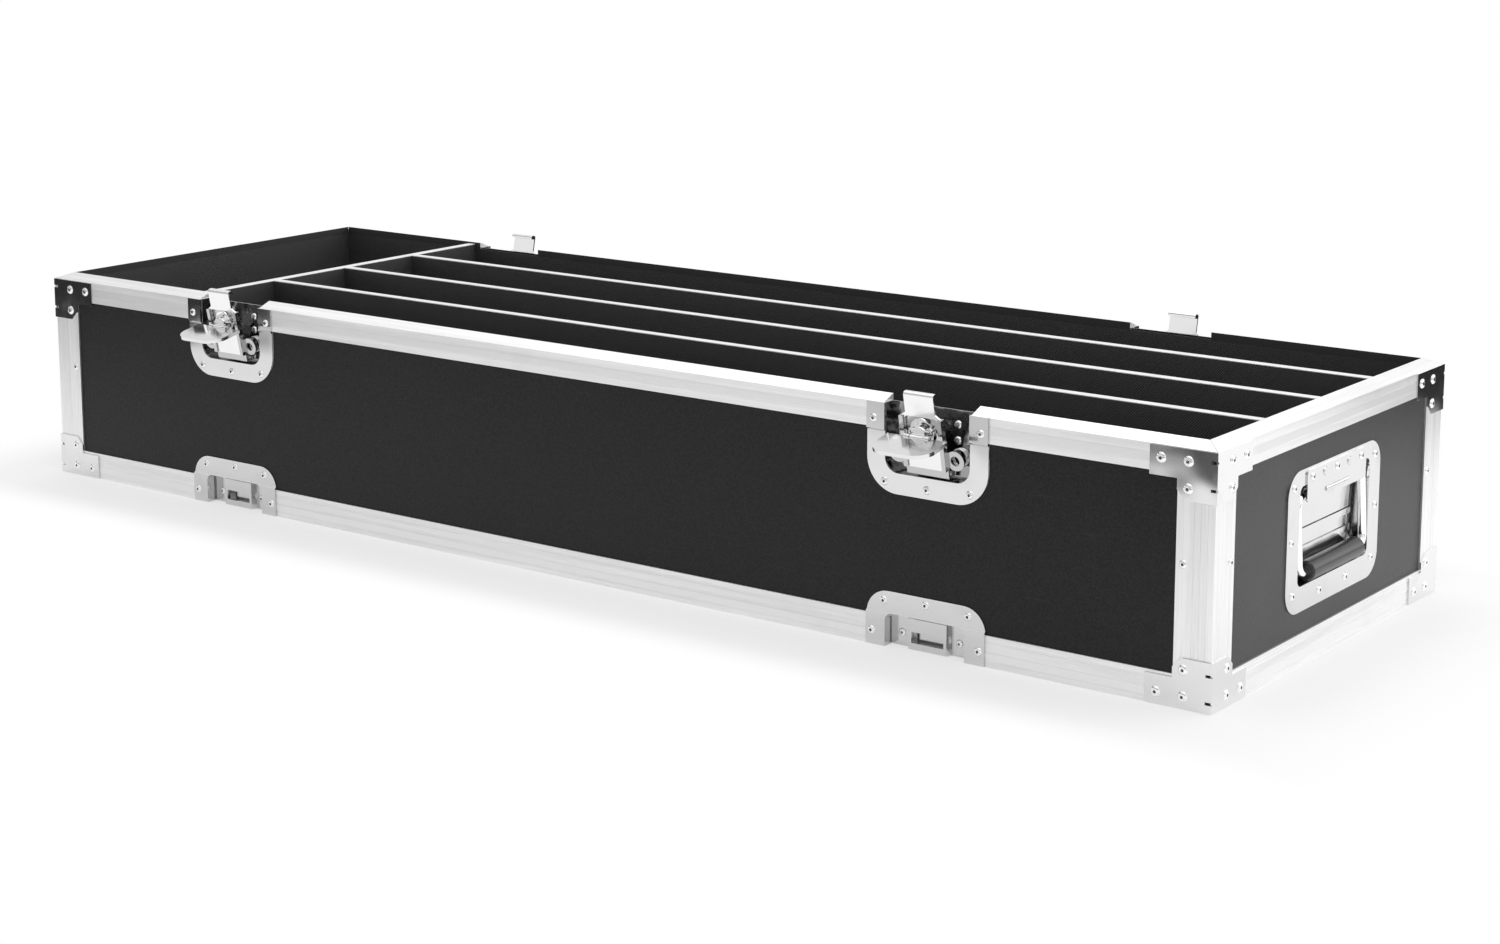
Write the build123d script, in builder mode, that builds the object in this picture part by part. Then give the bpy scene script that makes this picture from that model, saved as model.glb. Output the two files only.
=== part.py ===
from build123d import *
import os
from math import asin, ceil, cos, pi, radians, sin, sqrt

# Open-topped flight case for four one-metre light bars. Millimetres, Z up,
# origin at the middle of the underside, X along the case, latches front and back.

# Case envelope, measured over the edge extrusions
case_l = 1258.0
case_d = 402.0
rim_z = 194.0
fit = 0.2

# Walls
skin = 1.5
panel_t = 9.0
lining_t = 2.6
lining_gap = 0.1

# Rim extrusion
rim_leg = 20.0
rim_w = 13.4
rim_rise = 5.0
rim_lip = 1.5
rim_inner_leg = 7.0
rim_inner_t = 1.2
mitre_gap = 0.25

# Base and corner angle extrusions
base_leg = 25.0
base_foot = 25.0
angle_leg = 31.0
groove_w = 0.7
groove_deep = 0.2
rim_grooves = (6.5, 13.5)
base_grooves = (5.0, 12.0, 19.5)
angle_grooves = (6.0, 11.5, 17.0, 25.5)

# Sheet metal of the fittings
sheet = 1.2
dish_wall = 1.0
dish_deep = 10.4

# Corner brackets, as distances from the corner and from the case edge
bracket_long = 53.5
bracket_arm = 22.8
bracket_leg = 31.0
bracket_tall = 38.5
bracket_cham = 7.5
bracket_edge_gap = 0.5
bracket_slot_w = 4.0
bracket_slot_h = 2.2
bracket_slots = (8.0, 28.5)
bracket_rivets = ((22.1, 9.5), (44.2, 9.5), (22.1, 29.7))

# Rivets
rivet_head_r = 4.1
rivet_small_r = 3.4
rivet_head_h = 1.3
rivet_shank_r = 2.0
rivet_bore_r = 1.2
rivet_bore_deep = 5.0
rivet_grip = 8.0
rivet_hole_r = 2.1
angle_rivet_in = 25.0
angle_rivet_z = 108.0

# Latches, in each latch's own frame: u along the case, s up from the rim's
# shoulder, p outwards from the extrusion face
latch_inset = 245.0
latch_half = 55.0
latch_tall = 71.0
latch_round = 28.0
mouth_half = 38.5
mouth_deep = 54.5
mouth_round = 12.0
latch_rivets_high = ((-48.5, -13.0), (48.5, -13.0))
latch_rivets_low = ((-38.7, -62.0), (38.7, -62.0), (0.0, -64.0))
latch_rivets_floor = ((-21.5, -11.4), (21.5, -11.4), (-21.5, -23.8), (21.5, -23.8))

# Latch mechanism, drawn with the carrier upright and turned out by the open angle
open_angle = 12.0
pivot_s = -50.0
pivot_p = -7.0
pivot_pin_r = 1.5
run_gap = 0.08
barrel_r = 2.8
barrel_half = 12.0
lug_in = 14.0
lug_t = 3.0
lug_r = 2.4
plate_t = 1.5
plate_gap = 0.5
hook_top_half = 13.4
hook_base_half = 17.5
hook_foot = -45.0
hook_shoulder = 0.5
hook_taper = 3.0
lip_top = 16.7
lip_round = 2.2
lip_inner_round = 0.6
lip_reach = 6.0
lip_drop = 3.9
hook_travel = 7.0
axis_s = -17.0
cam_r = 10.0
cam_play = 1.0
window_round = 3.0
guide_gap = 0.3
guide_t = 1.2
guide_lip = 3.5
guide_top = -3.0
shaft_r = 4.0
rear_collar_r = 6.0
rear_collar_t = 1.5
front_collar_r = 10.4
front_collar_t = 1.4
float_gap = 0.3
head_r = 9.0
head_round = 1.6
head_h = 3.9
wing_pin_p = 6.8
wing_pin_r = 1.5
boss_half = 6.0
boss_r = 2.6
knuckle_r = 3.0
knuckle_w = 5.0
wing_half = 27.0
wing_deep = 32.0
wing_t = 1.8
wing_round = 15.0
wing_bead_w = 1.6
wing_bead_h = 1.2
ear_u = 26.0
ear_s = -36.0
ear_r = 8.0
ear_hole_r = 4.0
ear_bar = 12.0

# Compression springs under the carrier's ears
spring_wire_r = 0.65
spring_r = 6.85
spring_turns = 2.5
spring_tall = 6.4

# Keepers along the base, heights from the underside
keeper_half = 54.5
keeper_tall = 44.6
keeper_round = 20.0
pocket_half = 36.5
pocket_tall = 27.0
pocket_round = 6.0
keeper_rivets_high = ((-38.7, 36.6), (38.7, 36.6), (0.0, 38.7))
keeper_rivets_low = ((-49.0, 11.4), (49.0, 11.4))
keeper_rivets_floor = ((-26.2, 10.9), (26.2, 10.9))
bridge_half = 34.6
bridge_mid = 17.5
bridge_slope = 2.0
bridge_t = 1.5
bridge_out = 6.7
bridge_low = 0.4
bridge_high = 25.0
window_half = 14.8
window_low = 5.5
window_high = 14.5

# End handles, heights from the underside
handle_half = 82.5
handle_low = 42.5
handle_high = 154.0
handle_round = 20.0
cup_half = 62.5
cup_low = 62.5
cup_high = 141.0
cup_round = 6.0
handle_rivets = ((-72.5, 141.7), (72.5, 141.7), (-75.0, 100.0), (75.0, 100.0),
                 (-70.7, 58.0), (70.7, 58.0), (-23.5, 52.6), (23.5, 52.6))
cover_half = 52.5
cover_low = 127.0
cover_high = 152.0
cover_round = 3.0
cover_rivets = ((-43.5, 146.0), (0.0, 146.0), (43.5, 146.0))
cover_dimples = ((-21.7, 146.0), (21.7, 146.0))
dimple_r = 3.6
dimple_h = 0.9
cover_bead_half = 20.0
cover_bead_r = 2.4
saddle_u = 38.0
saddle_w = 8.0
saddle_r = 4.9
bail_z = 131.0
bail_p = -5.3
bail_r = 3.5
bail_half = 57.5
bail_drop = 59.0
bail_round = 8.0
grip_p = -2.0
grip_r = 8.0
grip_half = 46.0
grip_lip = 2.0
step_half = 50.0
step_h = 1.0
cup_steps = ((83.0, 89.0), (97.0, 103.0))
coil_wire_r = 0.5
coil_r = 4.4
coil_half = 14.0
coil_turns = 8

# Inside
pad_t = 8.0
board_t = 8.0
store_l = 194.0
lane_dividers = 3
divider_top = 197.5
cap_t = 0.9

panel_in = skin + panel_t
lining_in = panel_in + lining_gap + lining_t
floor_z = skin + panel_t
rim_under = rim_z - rim_lip
inner_half_l = case_l / 2 - lining_in
inner_half_d = case_d / 2 - lining_in
dish_back = dish_deep + dish_wall
cam_throw = hook_travel / 2
latch_x = case_l / 2 - latch_inset
cross_x = store_l - case_l / 2

# Each side's plane: x along the side, y up from the ground, z outwards
front = Plane(origin=(0, -case_d / 2, 0), x_dir=(1, 0, 0), z_dir=(0, -1, 0))
back = Plane(origin=(0, case_d / 2, 0), x_dir=(-1, 0, 0), z_dir=(0, 1, 0))
right = Plane(origin=(case_l / 2, 0, 0), x_dir=(0, 1, 0), z_dir=(1, 0, 0))
left = Plane(origin=(-case_l / 2, 0, 0), x_dir=(0, -1, 0), z_dir=(-1, 0, 0))
side_names = {"front": front, "back": back, "left": left, "right": right}
side_length = {"front": case_l, "back": case_l, "left": case_d, "right": case_d}
latch_sides = ("front", "back")
handle_sides = ("left", "right")
latch_places = [(name, hand, x) for name in latch_sides for hand, x in (("left", -1), ("right", 1))]

os.makedirs("parts", exist_ok=True)


def save(piece, name):
    """Label a finished piece and write its file."""
    piece.part.label = name
    export_step(piece.part, "parts/" + name + ".step")


def at(plane, x, y, z=0.0):
    """The same plane, moved to a point given in its own coordinates."""
    return Plane(origin=plane.from_local_coords((x, y, z)), x_dir=plane.x_dir, z_dir=plane.z_dir)


def profile_of(side):
    """Plane for a profile across a side: x outwards, y up."""
    return Plane(origin=side.origin, x_dir=side.z_dir, z_dir=side.z_dir.cross(Vector(0, 0, 1)))


def plan_of(side):
    """Plane for a plan view of a side: x along it, y inwards."""
    return Plane(origin=side.origin, x_dir=side.x_dir, z_dir=(0, 0, 1))


def spots(plane, points, height):
    """Places on a side plane, facing outwards."""
    return [at(plane, x, y, height).location for x, y in points]


def drill(places, radius=rivet_hole_r):
    """Round holes, from just outside each place inwards."""
    with Locations(*places):
        with Locations((0, 0, -rivet_grip / 2 + 2 * sheet)):
            Cylinder(radius, rivet_grip + 4 * sheet, mode=Mode.SUBTRACT)


def bracket_points(length):
    """Corner bracket rivets along one side, for the top and bottom brackets."""
    points = []
    for hand in (-1, 1):
        for along, drop in bracket_rivets:
            x = hand * (length / 2 - along)
            points += [(x, rim_z - drop), (x, drop)]
    return points


def angle_points(length):
    """Rivets that hold the corner angles, halfway up."""
    x = length / 2 - angle_rivet_in
    return [(-x, angle_rivet_z), (x, angle_rivet_z)]


def latch_frame(side, hand):
    """A latch's own plane, on the extrusion face at the rim's shoulder."""
    return at(side_names[side], hand * latch_x, rim_z)


def keeper_frame(side, hand):
    """A keeper's own plane, on the extrusion face at the underside."""
    return at(side_names[side], hand * latch_x, 0)


def side_rivets(name):
    """Every rivet place on one side that goes into its walls and extrusions."""
    side = side_names[name]
    length = side_length[name]
    places = spots(side, bracket_points(length), sheet)
    places += spots(side, angle_points(length), 0)
    if name in latch_sides:
        for hand in (-1, 1):
            latch = latch_frame(name, hand)
            keeper = keeper_frame(name, hand)
            places += spots(latch, latch_rivets_high, sheet)
            places += spots(latch, latch_rivets_low, sheet - skin)
            places += spots(keeper, keeper_rivets_low, sheet)
            places += spots(keeper, keeper_rivets_high, sheet - skin)
    else:
        places += spots(side, handle_rivets, sheet - skin)
        places += spots(side, cover_rivets, 2 * sheet - skin)
    return places


def latch_mouth(gap=0.0):
    """Outline of a latch recess, open upwards past the rim."""
    half = mouth_half + gap
    low = -mouth_deep - gap
    high = 2 * rim_rise
    with Locations((0, (low + high) / 2)):
        mouth = Rectangle(2 * half, high - low)
    fillet(mouth.vertices().group_by(Axis.Y)[0], mouth_round + gap)


def keeper_pocket(gap=0.0):
    """Outline of a keeper recess, open downwards past the underside."""
    half = pocket_half + gap
    low = -2 * rim_rise
    high = pocket_tall + gap
    with Locations((0, (low + high) / 2)):
        pocket = Rectangle(2 * half, high - low)
    fillet(pocket.vertices().group_by(Axis.Y)[-1], pocket_round + gap)


def handle_cup(gap=0.0):
    """Outline of a handle recess."""
    with Locations((0, (cup_low + cup_high) / 2)):
        RectangleRounded(2 * (cup_half + gap), cup_high - cup_low + 2 * gap, cup_round + gap)


def cut_recesses(name, top, deep):
    """Cut the latch, keeper or handle recesses from a side, between two depths."""
    gap = dish_wall + fit
    if name in latch_sides:
        for hand in (-1, 1):
            for frame, outline in ((latch_frame(name, hand), latch_mouth),
                                   (keeper_frame(name, hand), keeper_pocket)):
                with BuildSketch(frame.offset(-top)) as recess:
                    outline(gap)
                extrude(recess.sketch, amount=top - deep, mode=Mode.SUBTRACT)
    else:
        with BuildSketch(side_names[name].offset(-top)) as recess:
            handle_cup(gap)
        extrude(recess.sketch, amount=top - deep, mode=Mode.SUBTRACT)


def cut_slots(hand_x, hand_y, height, up, deep):
    """Slots at a corner bracket's bend, cut from the long side to this depth."""
    out_x = 2 * sheet - bracket_slot_w
    out_y = 2 * sheet - deep
    x, y, z = corner_origin(hand_x, hand_y, height)
    middle_x = x + hand_x * out_x / 2
    middle_y = y + hand_y * out_y / 2
    with Locations(*[(middle_x, middle_y, z + up * slot) for slot in bracket_slots]):
        Box(2 * sheet + bracket_slot_w, 2 * sheet + deep, bracket_slot_h, mode=Mode.SUBTRACT)


def mitre(side, length, width, height):
    """Keep what lies between two 45 degree mitres."""
    half = length / 2 - mitre_gap
    with BuildSketch(plan_of(side)) as keep:
        Polygon([(-half, 0), (half, 0), (half - width, width), (-half + width, width)])
    extrude(keep.sketch, amount=height, mode=Mode.INTERSECT)


def groove_faces(name, heights):
    """Shallow grooves along the outer face of a long extrusion."""
    side = side_names[name]
    with Locations(*[at(side, 0, z).location for z in heights]):
        Box(side_length[name], groove_w, 2 * groove_deep, mode=Mode.SUBTRACT)


def make_rim(name):
    """One side of the rim: outer leg, sloped top band and a short inner leg."""
    side = side_names[name]
    inner = -panel_in - lining_gap
    with BuildPart() as rim:
        with BuildSketch(profile_of(side)):
            Polygon([(0, rim_z - rim_leg), (0, rim_z), (1 - rim_w, rim_z + rim_rise),
                  (-rim_w, rim_z + rim_rise), (-rim_w, rim_under), (inner - rim_inner_t, rim_under),
                  (inner - rim_inner_t, rim_under - rim_inner_leg), (inner, rim_under - rim_inner_leg),
                  (inner, rim_under), (-skin, rim_under), (-skin, rim_z - rim_leg)])
        extrude(amount=side_length[name] / 2, both=True)
        groove_faces(name, [rim_z - drop for drop in rim_grooves])
        mitre(side, side_length[name], 2 * rim_w, 2 * rim_z)
        if name in latch_sides:
            for hand in (-1, 1):
                cut_slots(hand, side.z_dir.Y, rim_z, -1, skin + fit)
            cut_recesses(name, -2 * sheet, 2 * rim_w)
        drill(side_rivets(name))
    save(rim, "rim_" + name)


def make_base(name):
    """One side of the base: an angle under and outside the bottom panel."""
    side = side_names[name]
    with BuildPart() as base:
        with BuildSketch(profile_of(side)):
            Polygon([(0, 0), (0, base_leg), (-skin, base_leg), (-skin, skin),
                  (-base_foot, skin), (-base_foot, 0)])
        extrude(amount=side_length[name] / 2, both=True)
        groove_faces(name, base_grooves)
        mitre(side, side_length[name], 2 * base_foot, 2 * base_leg)
        if name in latch_sides:
            for hand in (-1, 1):
                cut_slots(hand, side.z_dir.Y, 0, 1, skin + fit)
            cut_recesses(name, -2 * sheet, dish_back + fit)
        drill(side_rivets(name))
    save(base, "base_angle_" + name)


def corner_origin(hand_x, hand_y, z):
    """A case corner at one height."""
    return (hand_x * case_l / 2, hand_y * case_d / 2, z)


def make_corner_angle(hand_x, hand_y, name):
    """An upright angle between the base and the rim, on one corner."""
    low = base_leg
    tall = rim_z - rim_leg - base_leg
    with BuildPart() as angle:
        with BuildSketch(Plane(origin=corner_origin(hand_x, hand_y, low))):
            x, y = -hand_x, -hand_y
            Polygon([(0, 0), (x * angle_leg, 0), (x * angle_leg, y * skin), (x * skin, y * skin),
                  (x * skin, y * angle_leg), (0, y * angle_leg)])
        extrude(amount=tall)
        cut_slots(hand_x, hand_y, rim_z, -1, skin + fit)
        cut_slots(hand_x, hand_y, 0, 1, skin + fit)
        ribs = []
        for along in angle_grooves:
            ribs += [(-hand_x * along, 0), (0, -hand_y * along)]
        corner_x = hand_x * case_l / 2
        corner_y = hand_y * case_d / 2
        with Locations(*[(corner_x + x, corner_y + y, low + tall / 2) for x, y in ribs]):
            Box(2 * groove_deep, 2 * groove_deep, tall, rotation=(0, 0, 45), mode=Mode.SUBTRACT)
        for side in side_names:
            drill(side_rivets(side))
    save(angle, name)


def make_panel(name):
    """One upright laminate panel, its edges under the extrusions."""
    side = side_names[name]
    length = side_length[name] - 2 * skin
    if name in handle_sides:
        length -= 2 * panel_t
    with BuildPart() as panel:
        with BuildSketch(side.offset(-skin)):
            with Locations((0, (skin + rim_under) / 2)):
                Rectangle(length, rim_under - skin)
        extrude(amount=-panel_t)
        cut_recesses(name, skin, panel_in)
        drill(side_rivets(name))
    save(panel, "panel_" + name)


def make_bottom_panel():
    """The floor panel, between the four upright panels."""
    with BuildPart() as panel:
        with BuildSketch(Plane.XY.offset(skin)):
            Rectangle(case_l - 2 * panel_in, case_d - 2 * panel_in)
        extrude(amount=panel_t)
        for name in latch_sides:
            cut_recesses(name, panel_in, dish_back + fit)
    save(panel, "panel_bottom")


def lining_board(name):
    """Dark facing board inside one wall, tucked under the rim's lip."""
    rebate = rim_inner_t + lining_gap
    outer = -panel_in - lining_gap
    leg_z = rim_under - rim_inner_leg - lining_gap
    half = side_length[name] / 2 + outer
    half -= lining_t + fit if name in handle_sides else rebate
    with BuildPart() as board:
        with BuildSketch(profile_of(side_names[name])):
            Polygon([(outer, floor_z), (outer, leg_z), (outer - rebate, leg_z),
                     (outer - rebate, rim_under - lining_gap), (-lining_in, rim_under - lining_gap),
                     (-lining_in, floor_z)])
        extrude(amount=half, both=True)
        cut_recesses(name, panel_in, dish_back + lining_gap)
    return board.part


def make_group(name, pieces):
    """Several separate pieces of one kind, saved as one node."""
    with BuildPart() as group:
        add(pieces)
    save(group, name)


def bracket(hand_x, hand_y, height, up):
    """One corner bracket, a plate bent round the corner, drawn up or down from the edge."""
    x_dir = Vector(-hand_x, 0, 0)
    y_dir = Vector(0, -hand_y, 0)
    corner = Vector(*corner_origin(hand_x, hand_y, height))
    face = Plane(origin=corner, x_dir=x_dir, z_dir=-y_dir)
    rise = up * face.y_dir.Z
    with BuildPart() as plate:
        with BuildSketch(face):
            Polygon([(-sheet, rise * bracket_edge_gap), (bracket_long, rise * bracket_edge_gap),
                     (bracket_long, rise * bracket_arm), (bracket_leg, rise * bracket_arm),
                     (bracket_leg, rise * (bracket_tall - bracket_cham)),
                     (bracket_leg - bracket_cham, rise * bracket_tall), (-sheet, rise * bracket_tall)])
        extrude(amount=sheet)
        mirror(about=Plane(origin=corner, z_dir=x_dir - y_dir))
        cut_slots(hand_x, hand_y, height, up, fit)
        for name, side in side_names.items():
            drill(spots(side, bracket_points(side_length[name]), sheet))
    return plate.part


def make_rivet(radius, shank):
    """One rivet standing at the origin: domed ring head, dark bore, shank downwards."""
    bore_end = rivet_head_h - min(rivet_bore_deep, rivet_head_h + shank / 2)
    with BuildPart() as rivet:
        with BuildSketch(Plane.XZ):
            with BuildLine():
                Line((rivet_bore_r, rivet_head_h), (rivet_bore_r, bore_end))
                Line((rivet_bore_r, bore_end), (0, bore_end))
                Line((0, bore_end), (0, -shank))
                Line((0, -shank), (rivet_shank_r, -shank))
                Line((rivet_shank_r, -shank), (rivet_shank_r, 0))
                Line((rivet_shank_r, 0), (radius, 0))
                ThreePointArc((radius, 0), (radius * 0.78, rivet_head_h * 0.74),
                              (rivet_bore_r, rivet_head_h))
            make_face()
        revolve(axis=Axis.Z)
    return rivet.part


def make_rivets(name, sets):
    """A group of rivets: each set is a radius, a shank length and its places."""
    rivets = [(make_rivet(radius, shank), places) for radius, shank, places in sets]
    with BuildPart() as group:
        for rivet, places in rivets:
            with Locations(*places):
                add(rivet)
    save(group, name)


def make_latch_dish(name, frame):
    """Pressed latch dish: stepped flange, recess open at the top, pin lugs."""
    step = -rim_leg
    with BuildPart() as dish:
        with BuildSketch(profile_of(frame)):
            Polygon([(0, 0), (sheet, 0), (sheet, step - sheet), (sheet - skin, step - sheet - skin),
                  (sheet - skin, -latch_tall), (-skin, -latch_tall), (-skin, step - skin), (0, step - fit)])
        extrude(amount=latch_half, both=True)
        with BuildSketch(frame.offset(-2 * skin)):
            with Locations((0, -latch_tall / 2)):
                outline = Rectangle(2 * latch_half, latch_tall)
            fillet(outline.vertices().group_by(Axis.Y)[0], latch_round)
        extrude(amount=4 * skin, mode=Mode.INTERSECT)
        with BuildSketch(frame.offset(-dish_back)):
            latch_mouth(dish_wall)
        extrude(amount=dish_back - skin)
        with BuildSketch(frame.offset(-skin)):
            with Locations((0, (step - skin) / 2)):
                Rectangle(2 * (mouth_half + dish_wall), skin - step)
        extrude(amount=skin)
        with BuildSketch(frame.offset(-dish_deep)):
            latch_mouth()
        extrude(amount=dish_deep + 2 * sheet, mode=Mode.SUBTRACT)
        with BuildSketch(frame.offset(-2 * dish_deep)):
            with Locations((0, 2 * rim_rise)):
                Rectangle(2 * latch_half, 4 * rim_rise)
        extrude(amount=3 * dish_deep, mode=Mode.SUBTRACT)
        for hand in (-1, 1):
            with BuildSketch(Plane(origin=frame.from_local_coords((hand * lug_in, pivot_s, pivot_p)),
                                   x_dir=frame.z_dir, z_dir=frame.x_dir * hand)):
                Circle(lug_r)
                with Locations(((-dish_deep - pivot_p) / 2, 0)):
                    Rectangle(dish_deep + pivot_p, 2 * lug_r)
                Circle(pivot_pin_r + 0.05, mode=Mode.SUBTRACT)
            extrude(amount=lug_t)
        drill(spots(frame, latch_rivets_high, sheet))
        drill(spots(frame, latch_rivets_low, sheet - skin))
        drill(spots(frame, latch_rivets_floor, -dish_deep))
    save(dish, "latch_dish_" + name)


def open_frame(frame):
    """The carrier's frame, turned outwards about the hinge pin."""
    lean = radians(open_angle)
    up = frame.y_dir * cos(lean) + frame.z_dir * sin(lean)
    out = frame.z_dir * cos(lean) - frame.y_dir * sin(lean)
    pivot = frame.from_local_coords((0, pivot_s, pivot_p))
    return Plane(origin=pivot - up * pivot_s - out * pivot_p, x_dir=frame.x_dir, z_dir=out)


def make_latch_carrier(name, frame):
    """Sprung carrier plate with folded guides, ears, spindle hole and hinge barrel."""
    rear = -2 * plate_t - plate_gap
    guide_half = hook_base_half + guide_gap + guide_t
    guide_tall = guide_top - hook_foot
    with BuildPart() as carrier:
        with BuildSketch(frame.offset(rear)):
            with Locations((0, (pivot_s + guide_top) / 2 - 1)):
                Rectangle(2 * guide_half, guide_top - pivot_s + 2)
            with Locations((0, ear_s)):
                Rectangle(2 * ear_u, ear_bar)
            with Locations((-ear_u, ear_s), (ear_u, ear_s)):
                Circle(ear_r)
                Circle(ear_hole_r, mode=Mode.SUBTRACT)
            with Locations((0, axis_s)):
                Circle(shaft_r + run_gap, mode=Mode.SUBTRACT)
        extrude(amount=plate_t)
        with BuildSketch(frame.offset(rear)):
            with Locations((0, guide_top - guide_tall / 2)):
                Rectangle(2 * guide_half, guide_tall)
                Rectangle(2 * (hook_base_half + guide_gap), guide_tall, mode=Mode.SUBTRACT)
        extrude(amount=guide_gap + guide_t - rear)
        with BuildSketch(frame.offset(guide_gap)):
            with Locations((0, guide_top - guide_tall / 2)):
                Rectangle(2 * guide_half, guide_tall)
                Rectangle(2 * (guide_half - guide_lip), guide_tall, mode=Mode.SUBTRACT)
        extrude(amount=guide_t)
        with BuildSketch(Plane(origin=frame.from_local_coords((0, pivot_s, pivot_p)),
                               x_dir=frame.z_dir, z_dir=-frame.x_dir)):
            Circle(barrel_r)
            with Locations(((rear - pivot_p) / 2 + 0.2, -barrel_r / 2 + 0.8)):
                Rectangle(rear - pivot_p + 0.4, barrel_r)
            Circle(pivot_pin_r + run_gap, mode=Mode.SUBTRACT)
        extrude(amount=barrel_half, both=True)
    save(carrier, "latch_carrier_" + name)


def make_latch_hook(name, frame):
    """Sliding hook plate: wide foot, cam slot and a folded lip on top."""
    back_face = -plate_t
    with BuildPart() as hook:
        with BuildSketch(Plane(origin=frame.origin, x_dir=frame.z_dir, z_dir=-frame.x_dir)):
            lip = Polygon([(0, hook_foot), (0, lip_top), (-lip_reach, lip_top),
                           (-lip_reach, lip_top - lip_drop), (plate_t - lip_reach, lip_top - lip_drop),
                           (plate_t - lip_reach, lip_top - plate_t), (back_face, lip_top - plate_t),
                           (back_face, hook_foot)])
            rows = lip.vertices().group_by(Axis.Y)
            fillet(rows[-1], lip_round)
            fillet(rows[-2], lip_inner_round)
        extrude(amount=hook_top_half, both=True)
        with BuildSketch(frame):
            Polygon([(-hook_base_half, hook_foot), (hook_base_half, hook_foot),
                  (hook_base_half, hook_shoulder - hook_taper), (hook_top_half, hook_shoulder),
                  (-hook_top_half, hook_shoulder), (-hook_base_half, hook_shoulder - hook_taper)])
        extrude(amount=-plate_t)
        with BuildSketch(frame.offset(float_gap)):
            with Locations((0, axis_s + cam_throw)):
                wide = 2 * (cam_r + cam_play)
                RectangleRounded(wide + 2 * cam_throw, wide, window_round)
        extrude(amount=-3 * plate_t, mode=Mode.SUBTRACT)
    save(hook, "latch_hook_" + name)


def make_latch_spindle(name, frame):
    """Spindle with its eccentric cam, collars, head and the wing's cross pin."""
    rear = -2 * plate_t - plate_gap
    cam_low = -plate_t - 0.2
    with BuildPart() as spindle:
        with BuildSketch(at(frame, 0, axis_s, rear - float_gap - rear_collar_t)):
            Circle(rear_collar_r)
        extrude(amount=rear_collar_t)
        with BuildSketch(at(frame, 0, axis_s, rear - float_gap)):
            Circle(shaft_r)
        extrude(amount=float_gap + plate_t + plate_gap)
        with BuildSketch(at(frame, 0, axis_s + cam_throw, cam_low)):
            Circle(cam_r)
        extrude(amount=float_gap - cam_low)
        with BuildSketch(at(frame, 0, axis_s, float_gap)):
            Circle(front_collar_r)
        extrude(amount=front_collar_t)
        with BuildSketch(at(frame, 0, axis_s, float_gap + front_collar_t)):
            Circle(head_r)
            Rectangle(2 * boss_half, 2 * head_r, mode=Mode.INTERSECT)
        extrude(amount=head_h)
        crown = spindle.edges().filter_by(GeomType.CIRCLE).group_by(
            lambda edge: round(frame.to_local_coords(edge.center()).Z, 2))[-1]
        fillet(crown, head_round)
        pin = frame.from_local_coords((0, axis_s, wing_pin_p))
        with BuildSketch(Plane(origin=pin, x_dir=frame.z_dir, z_dir=-frame.x_dir)):
            reach = wing_pin_p - float_gap - front_collar_t
            Circle(boss_r)
            with Locations((-reach / 2, 0)):
                Rectangle(reach, 2 * boss_r)
        extrude(amount=boss_half, both=True)
        with BuildSketch(Plane(origin=pin, x_dir=frame.z_dir, z_dir=-frame.x_dir)):
            Circle(wing_pin_r)
        extrude(amount=boss_half + float_gap + knuckle_w, both=True)
    save(spindle, "latch_spindle_" + name)


def wing_outline(inset, mode=Mode.ADD):
    """The wing's outline, straight along its hinge and round at its outer corners."""
    round_r = wing_round - inset
    deep = wing_deep - inset
    half = wing_half - inset
    with Locations((0, (deep - round_r) / 2)):
        Rectangle(2 * half, deep - round_r, mode=mode)
    with Locations((0, deep - round_r)):
        SlotOverall(2 * half, 2 * round_r, mode=mode)


def make_latch_wing(name, frame):
    """Folding wing: rounded plate with an edge bead, on two knuckles."""
    floor = Plane(origin=frame.from_local_coords((0, axis_s, wing_pin_p)),
                  x_dir=frame.x_dir, z_dir=-frame.y_dir)
    with BuildPart() as wing:
        with BuildSketch(floor.offset(-wing_t / 2)):
            wing_outline(0)
        extrude(amount=wing_t)
        with BuildSketch(floor.offset(wing_t / 2)):
            wing_outline(0)
            wing_outline(wing_bead_w, Mode.SUBTRACT)
        extrude(amount=wing_bead_h)
        for hand in (-1, 1):
            with BuildSketch(Plane(origin=floor.from_local_coords((hand * (boss_half + float_gap), 0, 0)),
                                   x_dir=frame.z_dir, z_dir=frame.x_dir * hand)):
                Circle(knuckle_r)
            extrude(amount=knuckle_w)
        with BuildSketch(floor.offset(-knuckle_r)):
            Rectangle(2 * (boss_half + float_gap), 2 * (boss_r + 2 * float_gap))
        extrude(amount=3 * knuckle_r, mode=Mode.SUBTRACT)
        with BuildSketch(Plane(origin=floor.origin, x_dir=frame.z_dir, z_dir=-frame.x_dir)):
            Circle(wing_pin_r + run_gap)
        extrude(amount=boss_half + float_gap + knuckle_w, both=True, mode=Mode.SUBTRACT)
    save(wing, "latch_wing_" + name)


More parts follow.
